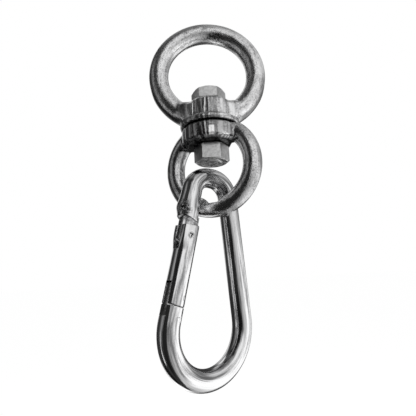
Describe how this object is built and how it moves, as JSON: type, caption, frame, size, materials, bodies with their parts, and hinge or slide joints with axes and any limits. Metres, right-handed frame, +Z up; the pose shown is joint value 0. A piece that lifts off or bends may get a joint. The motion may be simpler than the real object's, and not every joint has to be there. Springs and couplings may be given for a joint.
{
  "type": "swivel snap hook",
  "caption": "Two cast steel ring eyes on a swivel bolt, with an oval spring snap hook hanging in the lower eye.",
  "frame": {"origin": "centre of the upper ring", "axes": "+Z up along the swivel bolt, +Y along the upper ring's axis"},
  "size_m": [0.0485, 0.0291, 0.1443],
  "materials": {
    "cast": "cast steel, tumbled bright",
    "hardware": "zinc plated, satin",
    "polished": "nickel plated and polished",
    "pins": "ground bright steel",
    "spring": "spring steel"
  },
  "bodies": {
    "upper_eye": {"upper_eye": "cast"},
    "bolt": {"swivel_bolt": "hardware", "swivel_nut": "hardware"},
    "lower_eye": {"lower_eye": "cast"},
    "hook": {"hook_body": "polished"},
    "gate": {"gate": "polished", "gate_rivet": "pins", "catch_pin": "pins", "gate_spring": "spring"},
    "plunger": {"gate_plunger": "pins"}
  },
  "joints": [
    {"name": "bolt_spin", "type": "hinge", "parent": "upper_eye", "child": "bolt", "pos_m": [0, 0, -0.024], "axis": [0, 0, 1], "continuous": true},
    {"name": "eye_swivel", "type": "hinge", "parent": "bolt", "child": "lower_eye", "pos_m": [0, 0, -0.024], "axis": [0, 0, 1], "continuous": true},
    {"name": "hook_swing", "type": "hinge", "parent": "lower_eye", "child": "hook", "pos_m": [0, 0, -0.0557], "axis": [0.8988, -0.4384, 0], "range_deg": [-30, 90]},
    {"name": "gate_hinge", "type": "hinge", "parent": "hook", "child": "gate", "pos_m": [-0.01123, -0.0073, -0.0666], "axis": [0.633, -0.7734, -0.0349], "range_deg": [0, 22], "stiffness_Nm_per_rad": 0.3, "springref_deg": -45.84},
    {"name": "plunger_slide", "type": "slide", "parent": "gate", "child": "plunger", "axis": [-0.2245, -0.1402, -0.9643], "range_m": [0, 0.0008], "deforming": ["gate_spring"]}
  ],
  "couplings": [
    {"joint": "plunger_slide", "follows": "gate_hinge", "m_per_rad": 0.0014}
  ]
}
